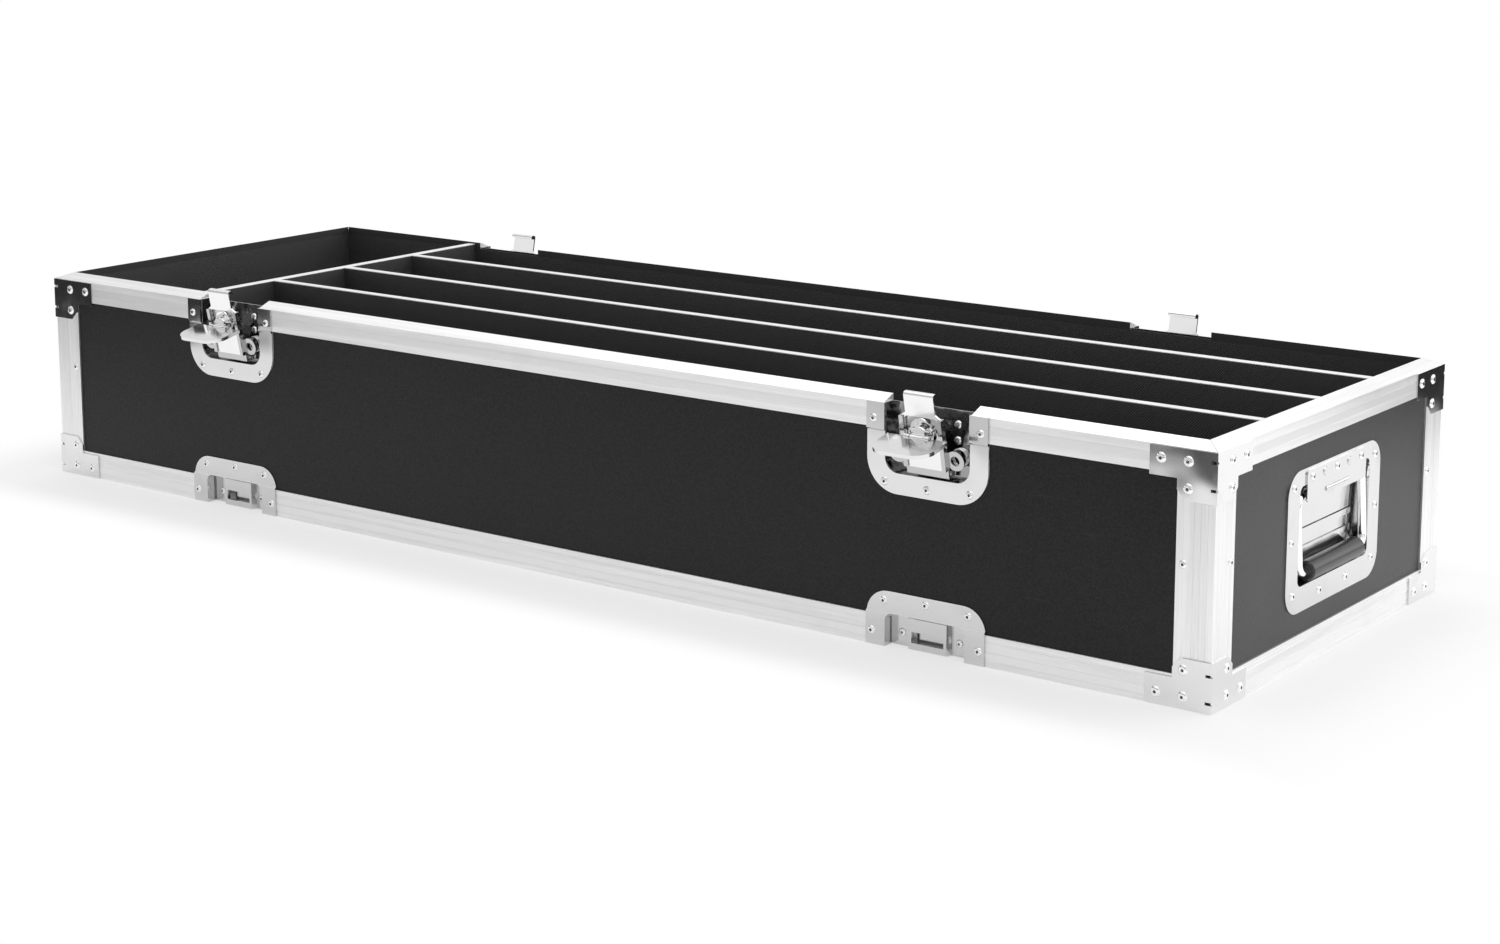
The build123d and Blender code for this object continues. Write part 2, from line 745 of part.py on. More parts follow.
def make_coil(radius, pitch, turns, wire):
    """One coil of round wire about Z, its centre line made of arcs, two to each half turn."""
    steps = ceil(2 * turns)
    rise = pitch * turns / steps
    slope = rise / (pi * radius)
    marks = [Vector(radius * cos(pi * n), radius * sin(pi * n), rise * n) for n in range(steps + 1)]
    ways = [Vector(-sin(pi * n), cos(pi * n), slope).normalized() for n in range(steps + 1)]
    with BuildPart() as coil:
        with BuildLine() as path:
            for n in range(steps):
                chord = marks[n + 1] - marks[n]
                spread = 2 * (1 - ways[n].dot(ways[n + 1]))
                lean = chord.dot(ways[n] + ways[n + 1])
                reach = (sqrt(lean * lean + spread * chord.dot(chord)) - lean) / spread
                leave = marks[n] + ways[n] * reach
                arrive = marks[n + 1] - ways[n + 1] * reach
                join = (leave + arrive) * 0.5
                TangentArc(marks[n], join, tangent=ways[n])
                TangentArc(join, marks[n + 1], tangent=(arrive - join).normalized())
        with BuildSketch(Plane(origin=path.line @ 0, z_dir=path.line % 0)):
            Circle(wire)
        sweep(path=path.line)
    return coil.part


def make_latch_springs():
    """Two compression springs in each latch dish, under the carrier's ears."""
    pitch = (spring_tall - 2 * spring_wire_r) / spring_turns
    print("latch spring gap to itself", round(pitch - 2 * spring_wire_r, 2))
    coil = make_coil(spring_r, pitch, spring_turns, spring_wire_r)
    places = []
    for side, hand_name, hand in latch_places:
        ears = [(-ear_u, ear_s), (ear_u, ear_s)]
        places += spots(latch_frame(side, hand), ears, spring_wire_r - dish_deep)
    with BuildPart() as springs:
        with Locations(*places):
            add(coil)
    save(springs, "latch_springs")


def make_latch_pins():
    """Hinge pins through the dish lugs and the carrier barrels."""
    with BuildPart() as pins:
        for side, hand_name, hand in latch_places:
            frame = latch_frame(side, hand)
            with BuildSketch(Plane(origin=frame.from_local_coords((0, pivot_s, pivot_p)),
                                   x_dir=frame.z_dir, z_dir=frame.x_dir)):
                Circle(pivot_pin_r)
        extrude(amount=lug_in + lug_t + 0.5, both=True)
    save(pins, "latch_hinge_pins")


def keeper_dish(frame):
    """One pressed keeper dish with its stepped flange, open at the bottom."""
    with BuildPart() as dish:
        with BuildSketch(profile_of(frame)):
            Polygon([(0, fit), (sheet, fit), (sheet, base_leg + sheet),
                  (sheet - skin, base_leg + sheet + skin), (sheet - skin, keeper_tall),
                  (-skin, keeper_tall), (-skin, base_leg + skin), (0, base_leg + fit)])
        extrude(amount=keeper_half, both=True)
        with BuildSketch(frame.offset(-2 * skin)):
            with Locations((0, keeper_tall / 2)):
                outline = Rectangle(2 * keeper_half, keeper_tall)
            fillet(outline.vertices().group_by(Axis.Y)[-1], keeper_round)
        extrude(amount=4 * skin, mode=Mode.INTERSECT)
        with BuildSketch(frame.offset(-dish_back)):
            keeper_pocket(dish_wall)
        extrude(amount=dish_back - skin)
        with BuildSketch(frame.offset(-skin)):
            keeper_pocket(dish_wall)
            with Locations((0, (base_leg + skin) / 2)):
                Rectangle(2 * keeper_half, base_leg + skin, mode=Mode.INTERSECT)
        extrude(amount=skin)
        with BuildSketch(frame.offset(-dish_deep)):
            keeper_pocket()
        extrude(amount=2 * dish_deep, mode=Mode.SUBTRACT)
        with BuildSketch(frame.offset(-2 * dish_deep)):
            with Locations((0, fit - 2 * rim_rise)):
                Rectangle(2 * keeper_half, 4 * rim_rise)
        extrude(amount=3 * dish_deep, mode=Mode.SUBTRACT)
        drill(spots(frame, keeper_rivets_high, sheet - skin))
        drill(spots(frame, keeper_rivets_low, sheet))
        drill(spots(frame, keeper_rivets_floor, -dish_deep))
    return dish.part


def keeper_bridge(frame):
    """One bridge plate across a keeper dish, with a window for a hook's lip."""
    foot = -dish_deep
    mid = bridge_out - dish_deep
    inset = bridge_t * 0.75
    outside = [(bridge_half, foot), (bridge_half, foot + bridge_t),
               (bridge_mid + bridge_slope, foot + bridge_t), (bridge_mid, mid)]
    inside = [(bridge_mid - inset, mid - bridge_t), (bridge_mid + bridge_slope - inset, foot)]
    with BuildPart() as bridge:
        with BuildSketch(Plane(origin=frame.from_local_coords((0, bridge_low, 0)),
                               x_dir=frame.x_dir, z_dir=-frame.y_dir)):
            Polygon(outside + [(-x, p) for x, p in reversed(outside)]
                    + [(-x, p) for x, p in reversed(inside)] + inside)
        extrude(amount=bridge_low - bridge_high)
        with BuildSketch(frame):
            with Locations((0, (window_low + window_high) / 2)):
                Rectangle(2 * window_half, window_high - window_low)
        extrude(amount=-dish_deep, mode=Mode.SUBTRACT)
        drill(spots(frame, keeper_rivets_floor, bridge_t - dish_deep))
    return bridge.part


def make_handle_dish(name):
    """Pressed handle dish with its flange and the steps pressed in its back."""
    frame = side_names[name]
    with BuildPart() as dish:
        with BuildSketch(frame.offset(-skin)):
            with Locations((0, (handle_low + handle_high) / 2)):
                RectangleRounded(2 * handle_half, handle_high - handle_low, handle_round)
        extrude(amount=sheet)
        with BuildSketch(frame.offset(-dish_back)):
            handle_cup(dish_wall)
        extrude(amount=dish_back - skin)
        with BuildSketch(frame.offset(-dish_deep)):
            handle_cup()
        extrude(amount=dish_deep + sheet, mode=Mode.SUBTRACT)
        for low, high in cup_steps:
            with BuildSketch(frame.offset(-dish_deep)):
                with Locations((0, (low + high) / 2)):
                    Rectangle(2 * step_half, high - low)
            extrude(amount=step_h, taper=30)
        drill(spots(frame, handle_rivets, sheet - skin))
        drill(spots(frame, cover_rivets, 2 * sheet - skin))
    save(dish, "handle_dish_" + name)


def handle_cover(frame):
    """One cover plate over a handle's hinge bar, with the saddles that carry the bar."""
    low_p = sheet - skin
    with BuildPart() as cover:
        with BuildSketch(frame.offset(low_p)):
            with Locations((0, (cover_low + cover_high) / 2)):
                RectangleRounded(2 * cover_half, cover_high - cover_low, cover_round)
        extrude(amount=sheet)
        with BuildSketch(frame.offset(low_p + sheet)):
            with Locations(*cover_dimples):
                Circle(dimple_r)
        extrude(amount=dimple_h, taper=35)
        with BuildSketch(Plane(origin=frame.from_local_coords((0, bail_z + 1, low_p)),
                               x_dir=frame.z_dir, z_dir=frame.x_dir)):
            Circle(cover_bead_r)
            with Locations((-cover_bead_r / 2, 0)):
                Rectangle(cover_bead_r, 2 * cover_bead_r, mode=Mode.SUBTRACT)
        extrude(amount=cover_bead_half, both=True)
        for hand in (-1, 1):
            with BuildSketch(Plane(origin=frame.from_local_coords((hand * saddle_u, bail_z, bail_p)),
                                   x_dir=frame.z_dir, z_dir=frame.x_dir)):
                Circle(saddle_r)
                with Locations(((low_p - bail_p) / 2, 0)):
                    Rectangle(low_p - bail_p, 2 * saddle_r)
                Circle(bail_r + run_gap, mode=Mode.SUBTRACT)
            extrude(amount=saddle_w / 2, both=True)
        drill(spots(frame, cover_rivets, 2 * sheet - skin))
    return cover.part


def bail_frame(name):
    """The bail's plane: x along the hinge bar, y up the legs, tipped out to the grip."""
    frame = side_names[name]
    lean = asin((grip_p - bail_p) / bail_drop)
    up = frame.y_dir * cos(lean) - frame.z_dir * sin(lean)
    out = frame.z_dir * cos(lean) + frame.y_dir * sin(lean)
    return Plane(origin=frame.from_local_coords((0, bail_z, bail_p)), x_dir=frame.x_dir, z_dir=out)


def make_handle_bail(name):
    """Steel bail: a closed rounded ring, its upper bar the hinge."""
    frame = bail_frame(name)
    with BuildPart() as bail:
        with BuildLine(frame) as ring:
            corners = [(-bail_half, 0), (bail_half, 0), (bail_half, -bail_drop), (-bail_half, -bail_drop)]
            FilletPolyline(*corners, radius=bail_round, close=True)
        with BuildSketch(Plane(origin=ring.line @ 0.5, z_dir=ring.line % 0.5)):
            Circle(bail_r)
        sweep(path=ring.line)
    save(bail, "handle_bail_" + name)


def make_handle_grip(name):
    """Rubber grip over the bail's lower bar, with rolled ends."""
    frame = bail_frame(name)
    with BuildPart() as grip:
        with BuildSketch(Plane(origin=frame.from_local_coords((0, -bail_drop, 0)),
                               x_dir=frame.z_dir, z_dir=frame.x_dir)):
            Circle(grip_r)
        extrude(amount=grip_half, both=True)
        fillet(grip.edges().filter_by(GeomType.CIRCLE), grip_lip)
        with BuildSketch(Plane(origin=frame.from_local_coords((0, -bail_drop, 0)),
                               x_dir=frame.z_dir, z_dir=frame.x_dir)):
            Circle(bail_r + 0.02)
        extrude(amount=2 * grip_half, both=True, mode=Mode.SUBTRACT)
    save(grip, "handle_grip_" + name)


def make_handle_springs():
    """Coils round the hinge bars, which fold the bails back into the dishes."""
    pitch = 2 * coil_half / coil_turns
    print("handle spring gap to itself", round(pitch - 2 * coil_wire_r, 2))
    coil = make_coil(coil_r, pitch, coil_turns, coil_wire_r)
    ends = [Plane(origin=side_names[name].from_local_coords((-coil_half, bail_z, bail_p)),
                  x_dir=side_names[name].z_dir, z_dir=side_names[name].x_dir) for name in handle_sides]
    with BuildPart() as springs:
        with Locations(*ends):
            add(coil)
    save(springs, "handle_springs")


def lane_lines():
    """Centre lines of the lengthwise dividers, with equal lanes between them."""
    lane = (2 * inner_half_d - lane_dividers * board_t) / (lane_dividers + 1)
    return [-inner_half_d + (n + 1) * lane + (n + 0.5) * board_t for n in range(lane_dividers)]


def make_board(name, x0, x1, y0, y1):
    """One divider board, standing on the floor panel below its cap."""
    with BuildPart() as board:
        with BuildSketch(Plane.XY.offset(floor_z)):
            with Locations(((x0 + x1) / 2, (y0 + y1) / 2)):
                Rectangle(x1 - x0, y1 - y0)
        extrude(amount=divider_top - cap_t - floor_z)
    save(board, name)


def make_dividers():
    """The crosswise board, the lengthwise boards and the caps on all of them."""
    cross_face = cross_x + board_t / 2
    make_board("divider_cross", cross_x - board_t / 2, cross_face, fit - inner_half_d, inner_half_d - fit)
    names = ("divider_front", "divider_middle", "divider_back")
    for name, y in zip(names, lane_lines()):
        make_board(name, cross_face + fit, inner_half_l - fit, y - board_t / 2, y + board_t / 2)
    with BuildPart() as caps:
        with BuildSketch(Plane.XY.offset(divider_top - cap_t)):
            with Locations((cross_x, 0)):
                Rectangle(board_t, 2 * (case_d / 2 - rim_w - fit))
        extrude(amount=cap_t)
        for y in lane_lines():
            with BuildSketch(Plane.XY.offset(divider_top - cap_t)):
                x1 = case_l / 2 - rim_w - fit
                with Locations(((cross_face + fit + x1) / 2, y)):
                    Rectangle(x1 - cross_face - fit, board_t)
        extrude(amount=cap_t)
        chamfer(caps.edges().filter_by(Plane.XY).group_by(Axis.Z)[-1], cap_t / 3)
    save(caps, "divider_caps")


def make_pads():
    """Foam pads on the floor, one in each compartment."""
    with BuildPart() as pads:
        with BuildSketch(Plane.XY.offset(floor_z)):
            x0, x1 = fit - inner_half_l, cross_x - board_t / 2 - fit
            with Locations(((x0 + x1) / 2, 0)):
                Rectangle(x1 - x0, 2 * (inner_half_d - fit))
            x0, x1 = cross_x + board_t / 2 + fit, inner_half_l - fit
            lines = lane_lines()
            edges = [-inner_half_d] + [y + s * board_t / 2 for y in lines for s in (-1, 1)] + [inner_half_d]
            for y0, y1 in zip(edges[::2], edges[1::2]):
                with Locations(((x0 + x1) / 2, (y0 + y1) / 2)):
                    Rectangle(x1 - x0, y1 - y0 - 2 * fit)
        extrude(amount=pad_t)
    save(pads, "floor_pads")


def make_all_rivets():
    """The rivets, grouped by what they hold."""
    bracket_places, angle_places = [], []
    for name, side in side_names.items():
        bracket_places += spots(side, bracket_points(side_length[name]), sheet)
        angle_places += spots(side, angle_points(side_length[name]), 0)
    make_rivets("corner_rivets", [(rivet_head_r, rivet_grip, bracket_places),
                                  (rivet_small_r, rivet_grip, angle_places)])
    latch_deep, latch_floor, keeper_deep, keeper_floor = [], [], [], []
    for side, hand_name, hand in latch_places:
        latch = latch_frame(side, hand)
        keeper = keeper_frame(side, hand)
        latch_deep += spots(latch, latch_rivets_high, sheet)
        latch_deep += spots(latch, latch_rivets_low, sheet - skin)
        latch_floor += spots(latch, latch_rivets_floor, -dish_deep)
        keeper_deep += spots(keeper, keeper_rivets_low, sheet)
        keeper_deep += spots(keeper, keeper_rivets_high, sheet - skin)
        keeper_floor += spots(keeper, keeper_rivets_floor, bridge_t - dish_deep)
    make_rivets("latch_rivets", [(rivet_small_r, rivet_grip, latch_deep),
                                 (rivet_small_r, dish_wall, latch_floor),
                                 (rivet_small_r, rivet_grip, keeper_deep),
                                 (rivet_small_r, bridge_t + dish_wall, keeper_floor)])
    plain, cover = [], []
    for name in handle_sides:
        plain += spots(side_names[name], handle_rivets, sheet - skin)
        cover += spots(side_names[name], cover_rivets, 2 * sheet - skin)
    make_rivets("handle_rivets", [(rivet_small_r, rivet_grip, plain), (rivet_small_r, rivet_grip, cover)])


for side_name in side_names:
    make_rim(side_name)
    make_base(side_name)
    make_panel(side_name)
make_bottom_panel()
make_group("wall_lining", [lining_board(side_name) for side_name in side_names])
for x_hand, x_name in ((-1, "left"), (1, "right")):
    for y_hand, y_name in ((-1, "front"), (1, "back")):
        make_corner_angle(x_hand, y_hand, "corner_angle_" + y_name + "_" + x_name)
corner_hands = [(x, y) for x in (-1, 1) for y in (-1, 1)]
corner_ends = ((rim_z, -1), (0, 1))
make_group("corner_brackets", [bracket(x, y, z, up) for x, y in corner_hands for z, up in corner_ends])
for side_name, hand_word, hand_sign in latch_places:
    latch_name = side_name + "_" + hand_word
    shut = latch_frame(side_name, hand_sign)
    opened = open_frame(shut)
    make_latch_dish(latch_name, shut)
    make_latch_carrier(latch_name, opened)
    make_latch_hook(latch_name, opened)
    make_latch_spindle(latch_name, opened)
    make_latch_wing(latch_name, opened)
make_latch_springs()
make_latch_pins()
keeper_frames = [keeper_frame(side_name, hand_sign) for side_name, hand_word, hand_sign in latch_places]
make_group("keeper_dishes", [keeper_dish(frame) for frame in keeper_frames])
make_group("keeper_bridges", [keeper_bridge(frame) for frame in keeper_frames])
for side_name in handle_sides:
    make_handle_dish(side_name)
    make_handle_bail(side_name)
    make_handle_grip(side_name)
make_group("handle_covers", [handle_cover(side_names[name]) for name in handle_sides])
make_handle_springs()
make_dividers()
make_pads()
make_all_rivets()
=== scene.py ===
from math import radians, tau

import bmesh
import bpy
from mathutils import Matrix, Vector, noise


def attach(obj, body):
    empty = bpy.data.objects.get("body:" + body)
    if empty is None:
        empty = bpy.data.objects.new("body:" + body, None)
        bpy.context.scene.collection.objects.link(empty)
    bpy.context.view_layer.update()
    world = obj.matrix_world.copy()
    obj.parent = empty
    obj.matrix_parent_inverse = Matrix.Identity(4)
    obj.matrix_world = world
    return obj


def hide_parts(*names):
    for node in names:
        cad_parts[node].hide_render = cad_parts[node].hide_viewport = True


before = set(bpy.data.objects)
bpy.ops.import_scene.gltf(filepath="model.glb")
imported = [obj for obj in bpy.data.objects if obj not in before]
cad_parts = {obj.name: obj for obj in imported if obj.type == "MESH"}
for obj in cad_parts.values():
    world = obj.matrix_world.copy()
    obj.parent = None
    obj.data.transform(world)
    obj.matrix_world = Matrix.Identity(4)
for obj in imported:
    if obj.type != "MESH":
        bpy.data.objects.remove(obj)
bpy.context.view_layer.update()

# Every length is in metres
x_way = (1.0, 0.0, 0.0)
y_way = (0.0, 1.0, 0.0)
z_way = (0.0, 0.0, 1.0)

# Floor of the compartments and the foam on it
pad_low = 0.0105
pad_high = 0.0185
pad_round = 0.003
pad_gap = 0.0002
pad_facet = 0.014
dimple_depth = 0.0006
dimples_per_metre = 24
top_tolerance = 0.00001
box_end = -0.6174
box_stop = -0.4399
lane_start = -0.4301
lane_end = 0.6174
lane_lines = (-0.0959, 0.0, 0.0959)
inner_half = 0.1894
board_half = 0.0047

# Ribbed bands of the extrusions: lower edge, upper edge and tone of each
rim_bands = ((0.1804, 0.1876, 0.78),)
base_bands = ((0.0050, 0.0118, 0.8), (0.0196, 0.0212, 0.75))
band_edge = 0.0006
rib_pitch = 0.0012

# The rims' inner sides, out to these distances from the case's middle, are lapped by the lining
front_lap = (y_way, 0.1877)
end_lap = (x_way, 0.6157)
lap_edge = 0.0001

# The flange of a latch's dish lies further than this from the case's middle, and its recess nearer,
# where its metal is darkened with painted shade
dish_recess = 0.2
recess_edge = 0.0008

# The lining's slanting ridges
weave_pitch = 0.0016
weave_ways = ((0.7, 0.7, -0.7), (0.7, 0.7, 0.7))

# The floor fades to white for the camera just outside the case, in a shorter way off its long sides
floor_radius = 12.0
case_half_length = 0.635
case_half_depth = 0.242
side_hurry = 2.2
fade = (0.03, 0.16)

# Metal mirrors a dark room past the edges of the table that the case stands on. Past its long edges
# a stretch left of the middle is paler, and the room comes nearer at the far left.
table_end = (1.7, 1.95)
table_side = (0.74, 0.9)
pale_middle = -0.42
pale_half = (0.48, 0.65)
pale_share = 0.35
left_from = (1.04, 1.12)
left_side = (0.6, 0.67)


class Field:
    """One value that changes over a surface: a socket of a finish, with sums written as Python."""

    def __init__(self, finish, socket):
        self.finish = finish
        self.socket = socket

    def math(self, operation, *values):
        return self.finish.node("ShaderNodeMath", {"operation": operation},
                                dict(enumerate(values)))

    def __add__(self, other):
        return self.math("ADD", self, other)

    __radd__ = __add__

    def __sub__(self, other):
        return self.math("SUBTRACT", self, other)

    def __rsub__(self, other):
        return self.math("SUBTRACT", other, self)

    def __mul__(self, other):
        return self.math("MULTIPLY", self, other)

    __rmul__ = __mul__

    def __abs__(self):
        return self.math("ABSOLUTE", self)

    def sine(self):
        return self.math("SINE", self)

    def larger(self, other):
        return self.math("MAXIMUM", self, other)

    def above(self, low, high):
        """0 below low, 1 over high, and smooth between."""
        return self.finish.node("ShaderNodeMapRange", {"interpolation_type": "SMOOTHSTEP"},
                                {"Value": self, "From Min": low, "From Max": high})

    def mix(self, first, second):
        """The first colour where this is 0, the second where it is 1."""
        return self.finish.node("ShaderNodeMix", {"data_type": "RGBA"},
                                {"Factor_Float": self, "A_Color": first, "B_Color": second},
                                "Result_Color")


class Finish:
    """The nodes of a material or of the room, drawn on the coordinates of the case itself."""

    def __init__(self, owner, coordinates="Object"):
        self.owner = owner
        owner.use_nodes = True
        self.tree = owner.node_tree
        self.tree.nodes.clear()
        self.place = self.node("ShaderNodeTexCoord", {}, {}, coordinates)

    def node(self, kind, settings, values, result=0):
        """A node of this kind with its settings made first, then its sockets; gives one output."""
        made = self.tree.nodes.new(kind)
        for key, value in settings.items():
            setattr(made, key, value)
        for key, value in values.items():
            socket = self.find(made.inputs, key)
            if isinstance(value, Field):
                self.tree.links.new(value.socket, socket)
            else:
                socket.default_value = value
        return Field(self, self.find(made.outputs, result)) if made.outputs else None

    def find(self, sockets, key):
        if isinstance(key, int):
            return sockets[key]
        return next(s for s in sockets if key in (s.name, s.identifier) and s.enabled)

    def scaled(self, size, stretch=(1, 1, 1)):
        """The place counted in steps of this size, drawn out along the axes by stretch."""
        return self.node("ShaderNodeVectorMath", {"operation": "MULTIPLY"},
                         {0: self.place, 1: tuple(1 / (size * s) for s in stretch)})

    def grain(self, size, detail=2.0, stretch=(1, 1, 1)):
        """Noise with grains of this size."""
        return self.node("ShaderNodeTexNoise", {"noise_dimensions": "3D"},
                         {"Vector": self.scaled(size, stretch), "Scale": 1.0, "Detail": detail})

    def cells(self, size):
        """Rounded cells of this size: 0 at the middle of each."""
        return self.node("ShaderNodeTexVoronoi", {"feature": "F1"},
                         {"Vector": self.scaled(size), "Scale": 1.0}, "Distance")

    def along(self, way):
        """Distance from the middle of the case along a direction."""
        return self.node("ShaderNodeVectorMath", {"operation": "DOT_PRODUCT"},
                         {0: self.place, 1: way}, "Value")

    def wave(self, distance, pitch):
        """A sine of this pitch along a distance, from 0 to 1."""
        return (distance * (tau / pitch)).sine() * 0.5 + 0.5

    def relief(self, height, depth, strength):
        return self.node("ShaderNodeBump", {}, {"Height": height, "Distance": depth,
                                                "Strength": strength})

    def ray(self, kind):
        """1 for this kind of ray, 0 for the others."""
        return self.node("ShaderNodeLightPath", {}, {}, kind)

    def shine(self, kind, colour, strength=1.0):
        """A shader that gives light: Emission, or Background for the room."""
        return self.node(kind, {}, {"Color": colour, "Strength": strength})

    def blend(self, share, first, second):
        """The first shader where share is 0, the second where it is 1."""
        return self.node("ShaderNodeMixShader", {}, {0: share, 1: first, 2: second})

    def surface(self, values):
        """The shader itself, joined to the output."""
        shader = self.node("ShaderNodeBsdfPrincipled", {}, values)
        self.node("ShaderNodeOutputMaterial", {}, {"Surface": shader})
        return self.owner


def new_finish(name):
    return Finish(bpy.data.materials.new(name))


def grey(value):
    return (value, value, value, 1.0)


def panel_laminate(name, shine):
    """Black phenolic laminate: a fine dimpled film with faint handling marks."""
    coat = new_finish(name)
    pebble = coat.grain(size=0.0011, detail=3.0)
    cloud = coat.grain(size=0.11, detail=3.0)
    scuff = coat.grain(size=0.004, detail=4.0, stretch=(9, 9, 1)).above(0.64, 0.8)
    tone = (pebble.above(0.3, 0.7) * 0.7 + cloud * 0.3).mix(grey(0.003), grey(0.018))
    return coat.surface({"Base Color": (scuff * 0.2).mix(tone, grey(0.05)),
                         "Roughness": 0.3 + cloud * 0.14 + scuff * 0.12,
                         "Specular IOR Level": shine,
                         "Normal": coat.relief(pebble, depth=0.00022, strength=0.7)})


def drawn_aluminium(name, stretch, bands=(), painted_lift=0.0, lap=None):
    """Bright extruded aluminium with die lines along its length, and the ribbed bands of its face.
    A lift brightens it with painted light: the same aluminium made lighter, standing in for more
    light falling on it. Lap is the direction out of the case and how far out the black lining
    covers its inner side."""
    metal = new_finish(name)
    die = metal.grain(size=0.0007, detail=3.0, stretch=stretch)
    broad = metal.grain(size=0.005, detail=2.0, stretch=stretch)
    soil = metal.grain(size=0.05, detail=3.0)
    lines = (die * 0.4 + broad * 0.6).above(0.25, 0.75)
    # Painted light: the lift makes the whole metal lighter
    tone = lines.mix(grey(0.7 + painted_lift), grey(0.84 + painted_lift))
    rough = 0.3 + broad * 0.12 + soil * 0.06
    height = metal.along(z_way)
    ribs = die
    for low, high, shade in bands:
        inside = height.above(low, low + band_edge) * (1 - height.above(high - band_edge, high))
        tone = inside.mix(tone, grey(shade))
        ribs = ribs + inside * metal.wave(height, rib_pitch) * 0.8
    worn = (soil.above(0.58, 0.82) * 0.15).mix(tone, grey(0.62))
    metallic = 0.9
    if lap:
        way, edge = lap
        cloth = 1 - abs(metal.along(way)).above(edge, edge + lap_edge)
        worn = cloth.mix(worn, grey(0.02))
        rough = rough + cloth * 0.25
        metallic = metallic - cloth * metallic
    return metal.surface({"Base Color": worn, "Metallic": metallic, "Roughness": rough,
                          "Normal": metal.relief(ribs, depth=0.00004, strength=0.6)})


def chromed_sheet(name, light, rough, dent, recess=None):
    """Plated pressed steel, bright and uneven from the press by the depth of its dents. Recess is
    how far out a recess in the long sides reaches, its metal darkened there with painted shade."""
    metal = new_finish(name)
    press = metal.grain(size=0.026, detail=0.0)
    rub = metal.grain(size=0.0007, detail=3.0)
    soil = metal.grain(size=0.03, detail=3.0).above(0.55, 0.82)
    tone = (soil * 0.25 + rub * 0.15).mix(grey(light), grey(light * 0.7))
    shape = press + rub * 0.004
    if recess:
        # Painted shade: the recess is darkened, standing in for the shade and dark reflections
        # inside the dish
        recess_shade = 1 - abs(metal.along(y_way)).above(recess - recess_edge, recess)
        tone = (recess_shade * 0.75).mix(tone, grey(0.16))
        shape = shape + recess_shade * metal.grain(size=0.012, detail=1.0) * 1.2
    return metal.surface({"Base Color": tone, "Metallic": 1.0,
                          "Roughness": rough + soil * 0.07 + rub * 0.04,
                          "Normal": metal.relief(shape, depth=dent, strength=1.0)})


def nickel_rivet():
    """Plated rivet heads, darkened and dulled by painted shade in the hollow of each bore."""
    metal = new_finish("nickel_rivet")
    press = metal.grain(size=0.0016)
    # Painted shade: concave places, the bores, are made dark and dull
    bore_shade = 1 - metal.node("ShaderNodeNewGeometry", {}, {}, "Pointiness").above(0.4, 0.49)
    return metal.surface({"Base Color": bore_shade.mix(press.mix(grey(0.72), grey(0.9)), grey(0.01)),
                          "Metallic": 1.0, "Roughness": 0.14 + press * 0.12 + bore_shade * 0.4,
                          "Normal": metal.relief(press, depth=0.00003, strength=0.6)})


def spring_wire():
    metal = new_finish("spring_wire")
    draw = metal.grain(size=0.0004)
    return metal.surface({"Base Color": draw.mix(grey(0.6), grey(0.86)), "Metallic": 1.0,
                          "Roughness": 0.18 + draw * 0.14,
                          "Normal": metal.relief(draw, depth=0.00002, strength=0.6)})


def bail_chrome():
    metal = new_finish("bail_chrome")
    rub = metal.grain(size=0.006, detail=3.0)
    return metal.surface({"Base Color": rub.mix(grey(0.8), grey(0.92)), "Metallic": 1.0,
                          "Roughness": 0.07 + rub * 0.08,
                          "Normal": metal.relief(rub, depth=0.00004, strength=0.5)})


def grip_rubber():
    """Moulded black rubber, satin, with a slight bloom."""
    rubber = new_finish("grip_rubber")
    skin = rubber.grain(size=0.0006, detail=3.0)
    bloom = rubber.grain(size=0.014, detail=3.0)
    return rubber.surface({"Base Color": bloom.mix(grey(0.008), grey(0.028)),
                           "Roughness": 0.22 + bloom * 0.16,
                           "Normal": rubber.relief(skin, depth=0.00004, strength=0.5)})


def woven_lining():
    """Black facing pressed with fine slanting ridges, crossed by fainter ones."""
    cloth = new_finish("wall_lining_mesh")
    ridge, cross = (cloth.wave(cloth.along(way), weave_pitch) for way in weave_ways)
    fleck = cloth.grain(size=0.0025, detail=3.0)
    thread = ridge.above(0.2, 0.8) * (0.5 + cross * 0.5)
    tone = thread.mix(grey(0.008), grey(0.095))
    return cloth.surface({"Base Color": (fleck * 0.3).mix(tone, grey(0.015)),
                          "Roughness": 0.6 - thread * 0.22,
                          "Normal": cloth.relief(thread, depth=0.00035, strength=0.8)})


def cap_metal():
    """Pale painted strip along the top of a divider."""
    strip = new_finish("cap_metal")
    die = strip.grain(size=0.0008, detail=3.0, stretch=(30, 30, 1))
    soil = strip.grain(size=0.02, detail=3.0)
    return strip.surface({"Base Color": (die * 0.5 + soil * 0.5).mix(grey(0.66), grey(0.9)),
                          "Metallic": 0.6, "Roughness": 0.34 + soil * 0.14,
                          "Normal": strip.relief(die, depth=0.00003, strength=0.5)})


def floor_foam():
    """Charcoal foam with open cells."""
    foam = new_finish("floor_foam")
    cell = foam.cells(size=0.0011)
    blotch = foam.grain(size=0.02, detail=3.0)
    tone = cell.above(0.1, 0.6).mix(grey(0.012), grey(0.045))
    return foam.surface({"Base Color": (blotch * 0.5).mix(tone, grey(0.022)), "Roughness": 0.95,
                         "Normal": foam.relief(cell, depth=0.0004, strength=0.8)})


def paint(nodes, material):
    """Gives CAD nodes a finish."""
    for name in nodes:
        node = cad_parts[name]
        node.data.materials.clear()
        node.data.materials.append(material)


def starting(*starts):
    """The CAD nodes whose names start with one of these."""
    return [name for name in sorted(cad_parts) if name.startswith(starts)]


